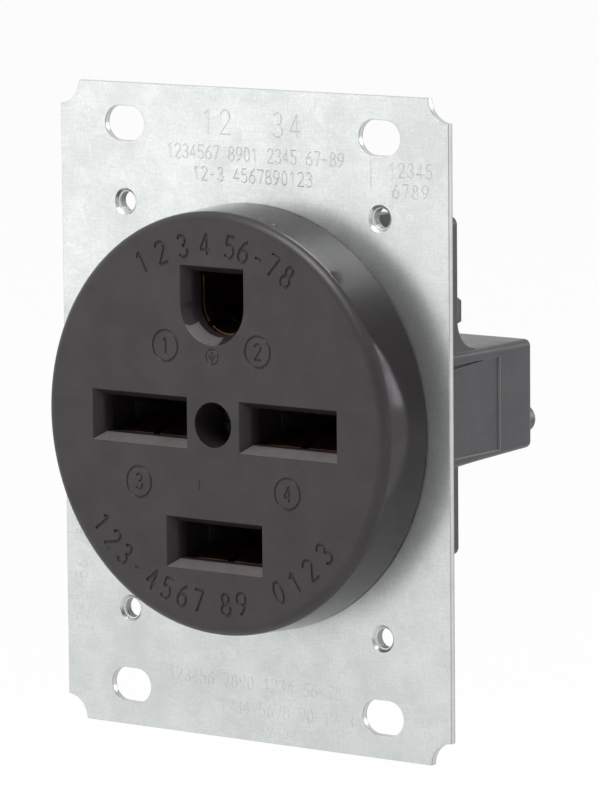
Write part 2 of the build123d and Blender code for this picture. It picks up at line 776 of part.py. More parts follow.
os.makedirs("parts", exist_ok=True)
for piece_name, piece in pieces.items():
    piece.label = piece_name
    export_step(piece, "parts/" + piece_name + ".step")
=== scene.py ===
import json
import math

import bmesh
import bpy
from mathutils import Matrix, Vector


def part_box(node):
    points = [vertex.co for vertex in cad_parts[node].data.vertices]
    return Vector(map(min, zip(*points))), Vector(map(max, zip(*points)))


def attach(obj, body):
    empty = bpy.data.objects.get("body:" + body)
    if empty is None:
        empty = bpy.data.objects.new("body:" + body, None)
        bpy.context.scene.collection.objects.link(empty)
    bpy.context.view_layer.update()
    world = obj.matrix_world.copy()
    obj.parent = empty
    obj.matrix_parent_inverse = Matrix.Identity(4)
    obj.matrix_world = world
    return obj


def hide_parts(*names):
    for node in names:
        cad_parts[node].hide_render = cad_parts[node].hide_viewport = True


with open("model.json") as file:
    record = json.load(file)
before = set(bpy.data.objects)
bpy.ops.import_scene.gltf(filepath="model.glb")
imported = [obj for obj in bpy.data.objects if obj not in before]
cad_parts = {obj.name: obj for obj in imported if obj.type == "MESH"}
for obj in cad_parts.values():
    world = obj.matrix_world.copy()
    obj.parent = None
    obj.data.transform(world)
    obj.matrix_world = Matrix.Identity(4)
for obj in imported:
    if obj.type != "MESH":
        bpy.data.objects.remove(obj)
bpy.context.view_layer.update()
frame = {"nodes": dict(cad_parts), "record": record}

MM = 0.001

# Depth planes of the solids: the plug side is negative Y
STRAP_LOW, STRAP_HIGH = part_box("mounting_strap")
FACE_LOW, FACE_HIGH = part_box("face_cover")
BASE_LOW, BASE_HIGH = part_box("base_housing")
STRAP_FRONT_Y = FACE_HIGH.y
FACE_FRONT_Y = FACE_LOW.y

# Tapped holes of the strap
HOLE_PITCH_X = 46.0 * MM
HOLE_PITCH_Z = 60.3 * MM
HOLE_WALL_RADIUS = 1.62 * MM
THREAD_PITCH = 0.55 * MM

# Sunk side panels of the rear body's arms
PANEL_END_Y = 17.0 * MM
PANEL_LOW_Z = -4.4 * MM
PANEL_HIGH_Z = 9.1 * MM

# Camera solved on the strap's corners, slots and tapped holes
IMAGE_LONG_SIDE = 800
SENSOR_WIDTH = 36.0
FOCAL_PIXELS = 5758.77
CAMERA_AZIMUTH = math.radians(36.94)
CAMERA_ELEVATION = math.radians(7.785)
CAMERA_ROLL = math.radians(-0.493)
CAMERA_DISTANCE = 832.62 * MM
AIM_RIGHT = 6.771 * MM
AIM_UP = 2.546 * MM


def camera_axes():
    """Right, up and forward directions of the camera."""
    flat = math.cos(CAMERA_ELEVATION)
    back = Vector((
        math.sin(CAMERA_AZIMUTH) * flat,
        -math.cos(CAMERA_AZIMUTH) * flat,
        math.sin(CAMERA_ELEVATION),
    ))
    forward = -back
    level_right = forward.cross(Vector((0, 0, 1))).normalized()
    level_up = level_right.cross(forward)
    cos_roll, sin_roll = math.cos(CAMERA_ROLL), math.sin(CAMERA_ROLL)
    right = cos_roll * level_right + sin_roll * level_up
    up = cos_roll * level_up - sin_roll * level_right
    return right, up, forward


def make_camera():
    right, up, forward = camera_axes()
    target = AIM_RIGHT * right + AIM_UP * up + Vector((0, STRAP_FRONT_Y, 0))
    place = target - CAMERA_DISTANCE * forward
    data = bpy.data.cameras.new("camera")
    data.sensor_width = SENSOR_WIDTH
    data.lens = SENSOR_WIDTH * FOCAL_PIXELS / IMAGE_LONG_SIDE
    data.clip_start = 0.05
    data.clip_end = 20.0
    camera = bpy.data.objects.new("camera", data)
    axes = Matrix((right, up, -forward)).transposed().to_4x4()
    camera.matrix_world = Matrix.Translation(place) @ axes
    bpy.context.scene.collection.objects.link(camera)
    bpy.context.scene.camera = camera


# Node-tree helpers
def new_material(name):
    """A material with one Principled shader; returns material, tree and shader."""
    material = bpy.data.materials.new(name)
    material.use_nodes = True
    tree = material.node_tree
    tree.nodes.clear()
    output = tree.nodes.new("ShaderNodeOutputMaterial")
    shader = tree.nodes.new("ShaderNodeBsdfPrincipled")
    tree.links.new(shader.outputs["BSDF"], output.inputs["Surface"])
    return material, tree, shader


def feed(tree, socket, value):
    """Links a node output to a socket, or sets the socket's own value."""
    if isinstance(value, bpy.types.NodeSocket):
        tree.links.new(value, socket)
    else:
        socket.default_value = value


def place_of(tree, stretch=(1, 1, 1)):
    """Object coordinates in metres, stretched along each axis."""
    coordinates = tree.nodes.new("ShaderNodeTexCoord")
    mapping = tree.nodes.new("ShaderNodeMapping")
    mapping.inputs["Scale"].default_value = stretch
    tree.links.new(coordinates.outputs["Object"], mapping.inputs["Vector"])
    return mapping.outputs["Vector"]


def noise(tree, place, grain, detail=2.0, roughness=0.5):
    """Noise whose features are about the grain in metres across."""
    node = tree.nodes.new("ShaderNodeTexNoise")
    feed(tree, node.inputs["Vector"], place)
    node.inputs["Scale"].default_value = 1 / grain
    node.inputs["Detail"].default_value = detail
    node.inputs["Roughness"].default_value = roughness
    return node.outputs["Fac"]


def cells(tree, place, size, output="Distance"):
    """Cells about the size in metres across: the distance to the nearest centre, or its colour."""
    node = tree.nodes.new("ShaderNodeTexVoronoi")
    feed(tree, node.inputs["Vector"], place)
    node.inputs["Scale"].default_value = 1 / size
    return node.outputs[output]


def maths(tree, operation, first, second=0.0, third=0.0):
    node = tree.nodes.new("ShaderNodeMath")
    node.operation = operation
    for socket, value in zip(node.inputs, (first, second, third)):
        feed(tree, socket, value)
    return node.outputs["Value"]


def spread(tree, value, low, high, to_low, to_high):
    """Maps a value from one range to another, clamped, with a smooth step."""
    node = tree.nodes.new("ShaderNodeMapRange")
    node.interpolation_type = "SMOOTHSTEP"
    feed(tree, node.inputs["Value"], value)
    limits = {"From Min": low, "From Max": high, "To Min": to_low, "To Max": to_high}
    for name, number in limits.items():
        node.inputs[name].default_value = number
    return node.outputs["Result"]


def blend_colours(tree, factor, first, second):
    """The first colour where the factor is 0, and the second where it is 1."""
    node = tree.nodes.new("ShaderNodeMix")
    node.data_type = "RGBA"
    feed(tree, node.inputs[0], factor)
    for socket, colour in ((node.inputs[6], first), (node.inputs[7], second)):
        feed(tree, socket, colour if isinstance(colour, bpy.types.NodeSocket) else (*colour, 1))
    return node.outputs[2]


def bump(tree, height, depth, normal):
    """Bump of the given depth in metres, on top of an earlier normal."""
    node = tree.nodes.new("ShaderNodeBump")
    node.inputs["Strength"].default_value = 1.0
    node.inputs["Distance"].default_value = depth
    feed(tree, node.inputs["Height"], height)
    feed(tree, node.inputs["Normal"], normal)
    return node.outputs["Normal"]


def soft_edges(tree, radius):
    """Normal that rounds the edges by the radius in metres."""
    node = tree.nodes.new("ShaderNodeBevel")
    node.samples = 6
    node.inputs["Radius"].default_value = radius
    return node.outputs["Normal"]


def spread_to(tree, mask, value):
    """1 where the mask is 0, and the value where the mask is 1."""
    change = maths(tree, "SUBTRACT", value, 1.0)
    return maths(tree, "MULTIPLY_ADD", mask, change, 1.0)


def axis_of(tree, place, axis):
    """One component, "X", "Y" or "Z", of a vector output."""
    node = tree.nodes.new("ShaderNodeSeparateXYZ")
    feed(tree, node.inputs["Vector"], place)
    return node.outputs[axis]


# Finishes
SPECK_COLOUR = (0.36, 0.37, 0.37)
# Paler colour for abraded edges and for painted highlights on edges
WORN_AND_HIGHLIGHT_COLOUR = (0.34, 0.31, 0.31)
# Brass colours darkened far below brass: painted shade for the contacts deep in the slots
SHADED_BRASS_DARK = (0.10, 0.055, 0.038)
SHADED_BRASS_PALE = (0.17, 0.10, 0.06)


def near_tapped_holes(tree, place):
    """1 inside the tapped holes' walls, 0 elsewhere."""
    offsets = []
    for axis, pitch in (("X", HOLE_PITCH_X), ("Z", HOLE_PITCH_Z)):
        distance = maths(tree, "ABSOLUTE", axis_of(tree, place, axis))
        offsets.append(maths(tree, "SUBTRACT", distance, pitch / 2))
    squares = [maths(tree, "MULTIPLY", offset, offset) for offset in offsets]
    radius = maths(tree, "SQRT", maths(tree, "ADD", squares[0], squares[1]))
    return spread(tree, radius, HOLE_WALL_RADIUS, HOLE_WALL_RADIUS + 0.05 * MM, 1.0, 0.0)


def sheared_edge_painted_shade(tree, place):
    """Painted shade on the strap's cut edges: dark at the front corner, bright between, grey at the
    rear.
    """
    depth = axis_of(tree, place, "Y")
    front = spread(tree, depth, STRAP_FRONT_Y, STRAP_FRONT_Y + 0.3 * MM, 0.42, 1.0)
    rear = spread(tree, depth, -0.32 * MM, -0.04 * MM, 1.0, 0.62)
    tone = maths(tree, "MULTIPLY", front, rear)
    geometry = tree.nodes.new("ShaderNodeNewGeometry")
    normal = geometry.outputs["True Normal"]
    facing = maths(tree, "ABSOLUTE", axis_of(tree, normal, "Y"))
    return spread_to(tree, spread(tree, facing, 0.3, 0.5, 1.0, 0.0), tone)


def galvanised_steel(name, light, shade, roughness):
    """Hot-dip zinc: soft spangle, rolled grain, fine specks, painted shade on the sheared edges, and
    cut threads.
    """
    material, tree, shader = new_material(name)
    place = place_of(tree)
    spangle = axis_of(tree, cells(tree, place, 2.2 * MM, "Color"), "X")
    fine = noise(tree, place, 0.22 * MM, 3.0, 0.6)
    cloud = noise(tree, place, 9 * MM, 2.0)
    rolled = noise(tree, place_of(tree, (0.06, 1, 1)), 0.16 * MM, 2.0)
    drawn = noise(tree, place_of(tree, (1, 1, 0.08)), 0.2 * MM, 2.0)
    grain = maths(tree, "MULTIPLY_ADD", fine, 0.5, maths(tree, "MULTIPLY", rolled, 0.22))
    grain = maths(tree, "MULTIPLY_ADD", drawn, 0.16, grain)
    grain = maths(tree, "MULTIPLY_ADD", cloud, 0.34, grain)
    mottled = maths(tree, "MULTIPLY_ADD", spangle, 0.08, grain)
    colour = blend_colours(tree, spread(tree, mottled, 0.5, 0.84, 0.0, 1.0), shade, light)
    specks = cells(tree, place, 1.15 * MM)
    speck_share = noise(tree, place, 3.1 * MM, 1.0)
    speck = maths(
        tree, "MULTIPLY",
        spread(tree, specks, 0.05, 0.34, 1.0, 0.0),
        spread(tree, speck_share, 0.56, 0.70, 0.0, 0.13),
    )
    colour = blend_colours(tree, speck, colour, SPECK_COLOUR)
    # Cut edges darkened towards black at their front and rear: painted shade
    colour = blend_colours(tree, sheared_edge_painted_shade(tree, place), (0.0, 0.0, 0.0), colour)
    feed(tree, shader.inputs["Base Color"], colour)
    shader.inputs["Metallic"].default_value = 0.92
    dulled = spread(tree, grain, 0.45, 0.9, roughness + 0.055, roughness - 0.02)
    feed(tree, shader.inputs["Roughness"], dulled)
    rounded = soft_edges(tree, 0.12 * MM)
    turns = maths(tree, "MULTIPLY", axis_of(tree, place, "Y"), 2 * math.pi / THREAD_PITCH)
    thread = maths(tree, "MULTIPLY", maths(tree, "SINE", turns), near_tapped_holes(tree, place))
    rounded = bump(tree, thread, 0.09 * MM, rounded)
    feed(tree, shader.inputs["Normal"], bump(tree, grain, 0.0022 * MM, rounded))
    return material


def plated_steel(name, light, shade, roughness, metallic=0.95):
    """Zinc or tin plate on a small part, with drawn grain and handling marks."""
    material, tree, shader = new_material(name)
    place = place_of(tree)
    fine = noise(tree, place, 0.25 * MM, 3.0, 0.6)
    cloud = noise(tree, place, 2.4 * MM, 2.0)
    mixed = maths(tree, "MULTIPLY_ADD", fine, 0.4, maths(tree, "MULTIPLY", cloud, 0.6))
    tone = spread(tree, mixed, 0.35, 0.65, 0.0, 1.0)
    feed(tree, shader.inputs["Base Color"], blend_colours(tree, tone, shade, light))
    shader.inputs["Metallic"].default_value = metallic
    handled = spread(tree, cloud, 0.3, 0.7, roughness - 0.05, roughness + 0.08)
    feed(tree, shader.inputs["Roughness"], handled)
    rounded = soft_edges(tree, 0.1 * MM)
    feed(tree, shader.inputs["Normal"], bump(tree, fine, 0.006 * MM, rounded))
    return material


def worn_and_highlit_edges(tree, radius, depth):
    """Up to the depth on edges, where the rounded normal leaves the true one, and 0 on flat faces:
    abrasion together with a painted edge highlight.
    """
    compare = tree.nodes.new("ShaderNodeVectorMath")
    compare.operation = "DOT_PRODUCT"
    feed(tree, compare.inputs[0], soft_edges(tree, radius))
    feed(tree, compare.inputs[1], tree.nodes.new("ShaderNodeNewGeometry").outputs["Normal"])
    return spread(tree, compare.outputs["Value"], 0.80, 0.97, depth, 0.0)


def painted_panel_highlights(tree, place, depth):
    """Painted highlight lines, up to the depth, on the rear and lower edges of the arms' sunk side
    panels.
    """
    across = maths(tree, "ABSOLUTE", axis_of(tree, place, "X"))
    along = axis_of(tree, place, "Y")
    up = axis_of(tree, place, "Z")
    fade = 0.1 * MM
    end_gap = maths(tree, "ABSOLUTE", maths(tree, "SUBTRACT", along, PANEL_END_Y))
    low_gap = maths(tree, "ABSOLUTE", maths(tree, "SUBTRACT", up, PANEL_LOW_Z))
    end_line = spread(tree, end_gap, 0.03 * MM, 0.17 * MM, 1.0, 0.0)
    above_low = spread(tree, up, PANEL_LOW_Z - fade, PANEL_LOW_Z, 0.0, 1.0)
    below_high = spread(tree, up, PANEL_HIGH_Z, PANEL_HIGH_Z + fade, 1.0, 0.0)
    end_line = maths(tree, "MULTIPLY", maths(tree, "MULTIPLY", end_line, above_low), below_high)
    low_line = spread(tree, low_gap, 0.02 * MM, 0.16 * MM, 1.0, 0.0)
    before_end = spread(tree, along, PANEL_END_Y, PANEL_END_Y + fade, 1.0, 0.0)
    low_line = maths(tree, "MULTIPLY", low_line, before_end)
    lines = maths(tree, "MAXIMUM", end_line, low_line)
    arm_side = BASE_HIGH.x - 0.6 * MM
    on_arm = spread(tree, across, arm_side - fade, arm_side, 0.0, depth)
    return maths(tree, "MULTIPLY", lines, on_arm)


def moulded_plastic(name, dark, pale, roughness, edge, pits=0.010, edge_lightening=0.0):
    """Compression-moulded thermoset: clouded colour, fine pits, soft edges and optional paler edges,
    part abrasion and part painted highlight.
    """
    material, tree, shader = new_material(name)
    place = place_of(tree)
    cloud = noise(tree, place, 5.5 * MM, 3.0, 0.6)
    fine = noise(tree, place, 0.5 * MM, 3.0, 0.6)
    mixed = maths(tree, "MULTIPLY_ADD", fine, 0.35, maths(tree, "MULTIPLY", cloud, 0.65))
    colour = blend_colours(tree, spread(tree, mixed, 0.3, 0.68, 0, 1), dark, pale)
    if edge_lightening:
        # Paler edges, part abrasion and part painted highlight, and painted highlight lines on the
        # arms' side panels
        lightened_edges = worn_and_highlit_edges(tree, 1.2 * edge, edge_lightening)
        lightened = maths(tree, "MAXIMUM", lightened_edges, painted_panel_highlights(tree, place, 0.55))
        colour = blend_colours(tree, lightened, colour, WORN_AND_HIGHLIGHT_COLOUR)
    feed(tree, shader.inputs["Base Color"], colour)
    polish = spread(tree, cloud, 0.3, 0.7, roughness + 0.03, roughness - 0.03)
    feed(tree, shader.inputs["Roughness"], polish)
    shader.inputs["IOR"].default_value = 1.5
    rounded = soft_edges(tree, edge)
    waves = bump(tree, cloud, 0.02 * MM, rounded)
    feed(tree, shader.inputs["Normal"], bump(tree, fine, pits * MM, waves))
    return material


def rolled_brass(name):
    """Contact brass drawn along Y, its colour darkened as painted shade for the slots."""
    material, tree, shader = new_material(name)
    place = place_of(tree)
    cloud = noise(tree, place, 3 * MM, 3.0)
    drawn = noise(tree, place_of(tree, (1, 0.1, 1)), 0.2 * MM, 2.0)
    tone = spread(tree, cloud, 0.35, 0.68, 0, 1)
    feed(tree, shader.inputs["Base Color"], blend_colours(tree, tone, SHADED_BRASS_DARK, SHADED_BRASS_PALE))
    shader.inputs["Metallic"].default_value = 1.0
    feed(tree, shader.inputs["Roughness"], spread(tree, drawn, 0.3, 0.7, 0.26, 0.4))
    rounded = soft_edges(tree, 0.08 * MM)
    feed(tree, shader.inputs["Normal"], bump(tree, drawn, 0.005 * MM, rounded))
    return material


EDGE_RADIUS = 0.15 * MM
BODY_EDGE_RADIUS = 0.18 * MM

strap_steel = galvanised_steel(
    "strap_zinc", (0.645, 0.665, 0.657), (0.525, 0.55, 0.54), roughness=0.28)
face_front_plastic = moulded_plastic(
    "face_satin", (0.013, 0.009, 0.012), (0.021, 0.016, 0.019), 0.42, EDGE_RADIUS)
face_side_plastic = moulded_plastic(
    "face_polished", (0.012, 0.008, 0.011), (0.017, 0.012, 0.015), 0.14, EDGE_RADIUS, pits=0.003)
body_plastic = moulded_plastic(
    "body_satin", (0.037, 0.035, 0.040), (0.051, 0.048, 0.054), 0.39, BODY_EDGE_RADIUS, edge_lightening=0.45)
# Paler plastic on the slot mouths' upward lower bevels: painted light from above.
painted_light_lip_plastic = moulded_plastic(
    "face_lip_painted_light", (0.095, 0.087, 0.088), (0.130, 0.120, 0.121), 0.34, EDGE_RADIUS)
contact_brass = rolled_brass("contact_brass")
lug_metal = plated_steel(
    "lug_tin", (0.80, 0.80, 0.79), (0.64, 0.64, 0.64), 0.32)
screw_steel = plated_steel(
    "screw_zinc", (0.15, 0.15, 0.155), (0.09, 0.09, 0.095), 0.34)
spring_steel = plated_steel(
    "spring_blue_grey", (0.42, 0.43, 0.46), (0.28, 0.29, 0.31), 0.30)
ground_screw_finish = plated_steel(
    "ground_screw_dark", (0.10, 0.11, 0.105), (0.06, 0.068, 0.064), 0.36, metallic=0.55)
blackened_steel = plated_steel(
    "blackened_steel", (0.035, 0.033, 0.038), (0.018, 0.017, 0.020), 0.42, metallic=0.4)
rivet_steel = plated_steel(
    "rivet_zinc", (0.72, 0.73, 0.73), (0.52, 0.53, 0.53), 0.28)

FINISHES = {
    "strap_steel": strap_steel,
    "face_plastic": face_front_plastic,
    "body_plastic": body_plastic,
    "contact_brass": contact_brass,
    "lug_metal": lug_metal,
    "screw_steel": screw_steel,
    "spring_steel": spring_steel,
    "ground_screw_steel": ground_screw_finish,
    "blackened_steel": blackened_steel,
    "rivet_steel": rivet_steel,
}
SLOT_OF = {part["node"]: part["material_slot"] for part in frame["record"]["subparts"]}


def dress_nodes():
    """Gives every solid its finish."""
    for name, piece in frame["nodes"].items():
        piece.data.materials.clear()
        piece.data.materials.append(FINISHES[SLOT_OF[name]])


# Engraved figures, each a list of strokes in a cell one unit high
def bow(centre_x, centre_y, radius_x, radius_y, start, end, steps=14):
    """Points along an elliptical arc, with angles in degrees."""
    angles = [math.radians(start + (end - start) * i / steps) for i in range(steps + 1)]
    return [(centre_x + radius_x * math.cos(a), centre_y + radius_y * math.sin(a)) for a in angles]


SIX = [(0.45, 1.0), (0.22, 0.80), (0.05, 0.48)] + bow(0.28, 0.29, 0.25, 0.29, 150, 510)
FIGURES = {
    "0": [bow(0.28, 0.5, 0.23, 0.5, 90, 450)],
    "1": [[(0.10, 0.78), (0.32, 1.0), (0.32, 0.0)]],
    "2": [bow(0.28, 0.74, 0.24, 0.26, 170, -40) + [(0.03, 0.0), (0.54, 0.0)]],
    "3": [bow(0.27, 0.76, 0.21, 0.24, 160, -90) + bow(0.27, 0.26, 0.25, 0.26, 90, -160)],
    "4": [[(0.56, 0.28), (0.02, 0.28), (0.40, 1.0), (0.40, 0.0)]],
    "5": [[(0.50, 1.0), (0.12, 1.0), (0.08, 0.56)] + bow(0.26, 0.31, 0.26, 0.31, 125, -150)],
    "6": [SIX],
    "7": [[(0.03, 1.0), (0.53, 1.0), (0.22, 0.0)]],
    "8": [bow(0.28, 0.76, 0.19, 0.24, -90, 270), bow(0.28, 0.26, 0.25, 0.26, 90, 450)],
    "9": [[(0.56 - x, 1.0 - y) for x, y in SIX]],
    "-": [[(0.10, 0.45), (0.46, 0.45)]],
}
FIGURE_WIDTH = 0.56


def place_figure(figure, centre, height, turn):
    """Strokes of one figure, centred at a point of the face and turned by an angle."""
    strokes = []
    cos_turn, sin_turn = math.cos(turn), math.sin(turn)
    for stroke in FIGURES[figure]:
        points = []
        for x, y in stroke:
            across = (x - FIGURE_WIDTH / 2) * height
            along = (y - 0.5) * height
            points.append((
                centre[0] + across * cos_turn - along * sin_turn,
                centre[1] + across * sin_turn + along * cos_turn,
            ))
        strokes.append(points)
    return strokes


def figures_on_arc(marks, radius, height, tops_outward):
    """Strokes of figures set round the centre; marks pairs each figure with its angle in degrees."""
    strokes = []
    for figure, degrees in marks:
        angle = math.radians(degrees)
        centre = (radius * math.cos(angle), radius * math.sin(angle))
        turn = angle - math.pi / 2 if tops_outward else angle + math.pi / 2
        strokes += place_figure(figure, centre, height, turn)
    return strokes


def figures_in_row(text, start, height, step, turn):
    """Strokes of a row of figures that starts at a point and runs along the turned line."""
    strokes = []
    for index, figure in enumerate(text):
        if figure == " ":
            continue
        centre = (
            start[0] + index * step * math.cos(turn),
            start[1] + index * step * math.sin(turn),
        )
        strokes += place_figure(figure, centre, height, turn)
    return strokes


def parts_of(stroke, sharpest=50.0):
    """The stroke, parted at each corner that turns by more than the angle in degrees."""
    parts = [[stroke[0]]]
    for before, point, after in zip(stroke, stroke[1:], stroke[2:]):
        parts[-1].append(point)
        first = math.atan2(point[1] - before[1], point[0] - before[0])
        second = math.atan2(after[1] - point[1], after[0] - point[0])
        turn = abs(math.remainder(second - first, 2 * math.pi))
        if turn > math.radians(sharpest):
            parts.append([point])
    parts[-1].append(stroke[-1])
    return parts


def cutter(name, strokes, plane_y, half_width, depth, facets=2):
    """Closed round tubes along the strokes, sunk so that they cut grooves of the given depth."""
    radius = (half_width ** 2 + depth ** 2) / (2 * depth) / MM
    centre_y = (plane_y + depth) / MM - radius
    curve = bpy.data.curves.new(name, "CURVE")
    curve.dimensions = "3D"
    curve.bevel_depth = radius
    curve.bevel_resolution = facets
    curve.use_fill_caps = True
    for stroke in [part for stroke in strokes for part in parts_of(stroke)]:
        closed = math.dist(stroke[0], stroke[-1]) < 0.001 * MM
        points = stroke[:-1] if closed else stroke
        spline = curve.splines.new("POLY")
        spline.points.add(len(points) - 1)
        for point, (x, z) in zip(spline.points, points):
            point.co = (x / MM, centre_y, z / MM, 1)
        spline.use_cyclic_u = closed
    tube = bpy.data.objects.new(name, curve)
    bpy.context.scene.collection.objects.link(tube)
    return tube


def fresh_copy(node, name):
    """A welded copy of a solid's mesh, in millimetres, as a piece that stands for the solid."""
    source = frame["nodes"][node].data
    mesh = bpy.data.meshes.new(name)
    mesh.from_pydata(
        [tuple(v.co / MM) for v in source.vertices],
        [],
        [tuple(p.vertices) for p in source.polygons],
    )
    piece = bpy.data.objects.new(name, mesh)
    bpy.context.scene.collection.objects.link(piece)
    weld = piece.modifiers.new("weld", "WELD")
    weld.merge_threshold = 0.0005
    return piece


def cut_grooves(piece, cutters):
    """Subtracts every cutter from the piece and leaves a plain mesh in metres."""
    for tube in cutters:
        depsgraph = bpy.context.evaluated_depsgraph_get()
        solid = bpy.data.meshes.new_from_object(tube.evaluated_get(depsgraph))
        tool = bpy.data.objects.new(tube.name + "_tool", solid)
        bpy.context.scene.collection.objects.link(tool)
        carve = piece.modifiers.new(tube.name, "BOOLEAN")
        carve.operation = "DIFFERENCE"
        carve.solver = "EXACT"
        carve.use_self = True
        carve.object = tool
    depsgraph = bpy.context.evaluated_depsgraph_get()
    mesh = bpy.data.meshes.new_from_object(piece.evaluated_get(depsgraph))
    piece.modifiers.clear()
    mesh.transform(Matrix.Scale(MM, 4))
    piece.data = mesh
    for tube in cutters:
        bpy.data.objects.remove(bpy.data.objects[tube.name + "_tool"])
        bpy.data.objects.remove(tube)


def smooth(piece, degrees=32.0):
    """Smooth shading, with sharp corners and a sharp border round every flat front or rear face."""
    mesh = piece.data
    mesh.polygons.foreach_set("use_smooth", [True] * len(mesh.polygons))
    mesh.set_sharp_from_angle(angle=math.radians(degrees))
    shape = bmesh.new()
    shape.from_mesh(mesh)
    for edge in shape.edges:
        flat = [abs(side.normal.y) > 0.9999 for side in edge.link_faces]
        if len(set(flat)) > 1:
            edge.smooth = False
    shape.to_mesh(mesh)
    shape.free()
    mesh.update()


# Face: rim figures, four ringed marks and an earth sign, all engraved
FACE_FIGURE_HEIGHT = 3.2 * MM
FACE_GROOVE_HALF_WIDTH = 0.21 * MM
FACE_GROOVE_DEPTH = 0.26 * MM
RIM_RADIUS = 26.0 * MM
UPPER_MARKS = (
    list(zip("1234", (119.0, 110.5, 101.5, 92.5)))
    + list(zip("56-78", (82.5, 77.0, 71.0, 65.0, 58.5)))
)
LOWER_MARKS = (
    list(zip("123-4567", (217.5, 224.5, 231.0, 237.5, 244.0, 250.5, 257.0, 263.5)))
    + list(zip("89", (274.5, 281.0)))
    + list(zip("0123", (296.5, 304.0, 311.5, 319.5)))
)
RING_RADIUS = 2.25 * MM
RINGED_MARKS = {"1": (-8.5, 10.9), "2": (8.2, 11.1), "3": (-13.6, -9.3), "4": (13.3, -8.9)}
RINGED_HEIGHT = 2.3 * MM
EARTH_CENTRE = (0.0, 9.85)
EARTH_RADIUS = 1.1 * MM
MOULD_NICK = [(-2.6, -8.2), (-2.45, -9.6)]

# Boxes round the slots' bevels: centre and half sizes in millimetres
SLOT_MOUTHS = (
    (-13.4, 0.0, 8.8, 3.8),
    (13.4, 0.0, 8.8, 3.8),
    (0.0, -17.55, 8.8, 3.8),
    (0.0, 17.2, 5.8, 5.8),
)
SIDE_WALL_INSET = 1.7 * MM
SIDE_WALL_START = 0.9 * MM
FRONT_SLOT, SIDE_SLOT, PAINTED_LIGHT_LIP_SLOT = 0, 1, 2


def ring_strokes(centre, radius):
    """A circle round a centre in millimetres, as one stroke."""
    return [bow(centre[0] * MM, centre[1] * MM, radius, radius, 0, 360, steps=36)]


def earth_strokes():
    """Ringed earth sign: a stem over three bars."""
    x, z = EARTH_CENTRE[0] * MM, EARTH_CENTRE[1] * MM
    strokes = ring_strokes(EARTH_CENTRE, EARTH_RADIUS)
    strokes.append([(x, z + 0.75 * MM), (x, z + 0.05 * MM)])
    for half_length, drop in ((0.62, 0.05), (0.40, -0.28), (0.18, -0.60)):
        bar_z = z + drop * MM
        strokes.append([(x - half_length * MM, bar_z), (x + half_length * MM, bar_z)])
    return strokes


def at_slot_mouth(x, z):
    return any(
        abs(x - slot_x * MM) < half_width * MM and abs(z - slot_z * MM) < half_height * MM
        for slot_x, slot_z, half_width, half_height in SLOT_MOUTHS
    )


def face_slot_of(polygon):
    """Material slot of a face polygon: polished side wall, a slot mouth's upward lower bevel painted
    paler as painted light from above, or satin front.
    """
    centre, normal = polygon.center, polygon.normal
    depth = centre.y - FACE_FRONT_Y
    radius = math.hypot(centre.x, centre.z)
    sloping_up = -0.6 < normal.y < -0.3 and normal.z > 0.5 and normal.x > -0.15
    if radius > FACE_HIGH.x - SIDE_WALL_INSET and depth > SIDE_WALL_START:
        return SIDE_SLOT
    if sloping_up and at_slot_mouth(centre.x, centre.z):
        return PAINTED_LIGHT_LIP_SLOT
    return FRONT_SLOT


def make_face():
    """Moulded face with engraved figures, polished on its side wall."""
    piece = fresh_copy("face_cover", "face_moulding")
    figures = figures_on_arc(UPPER_MARKS, RIM_RADIUS, FACE_FIGURE_HEIGHT, True)
    figures += figures_on_arc(LOWER_MARKS, RIM_RADIUS, FACE_FIGURE_HEIGHT, False)
    marks = []
    for figure, centre in RINGED_MARKS.items():
        marks += ring_strokes(centre, RING_RADIUS)
        place = (centre[0] * MM, centre[1] * MM)
        marks += place_figure(figure, place, RINGED_HEIGHT, 0.0)
    fine = earth_strokes()
    fine.append([(x * MM, z * MM) for x, z in MOULD_NICK])
    cut_grooves(piece, [
        cutter("rim_figures", figures, FACE_FRONT_Y, FACE_GROOVE_HALF_WIDTH, FACE_GROOVE_DEPTH),
        cutter("ringed_marks", marks, FACE_FRONT_Y, 0.17 * MM, 0.2 * MM),
        cutter("fine_marks", fine, FACE_FRONT_Y, 0.11 * MM, 0.12 * MM),
    ])
    smooth(piece)
    piece.data.materials.clear()
    for material in (face_front_plastic, face_side_plastic, painted_light_lip_plastic):
        piece.data.materials.append(material)
    for polygon in piece.data.polygons:
        polygon.material_index = face_slot_of(polygon)
    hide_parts("face_cover")
    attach(piece, "root")


# Strap: stamped rows as figures, start x and z, height and step in millimetres
UPPER_ROWS = (
    ("12", -7.6, 42.6, 3.5, 3.1),
    ("34", 5.0, 42.6, 3.5, 3.1),
    ("1234567 8901 2345 67-89", -14.6, 38.1, 2.0, 1.4),
    ("12-3 4567890123", -9.8, 35.0, 2.0, 1.45),
    ("12345", 25.2, 37.2, 2.0, 1.6),
    ("6789", 25.8, 34.2, 2.0, 1.7),
)
LOWER_ROWS = (
    ("123456 7890 1234 56-78", -15.4, -39.1, 2.0, 1.45),
    ("1234 5678 90-12 3456", -6.0, -42.9, 2.0, 1.45),
    ("12-34", 1.2, -46.0, 1.7, 1.45),
)
UPRIGHT_ROW = ("12-3456 7890", -32.2, -34.0, 2.0, 1.6)
STRIP_LINE = [(21.5 * MM, 38.4 * MM), (21.5 * MM, 34.2 * MM)]


def stamped_row(row, turn=0.0):
    text, x, z, height, step = row
    return figures_in_row(text, (x * MM, z * MM), height * MM, step * MM, turn)


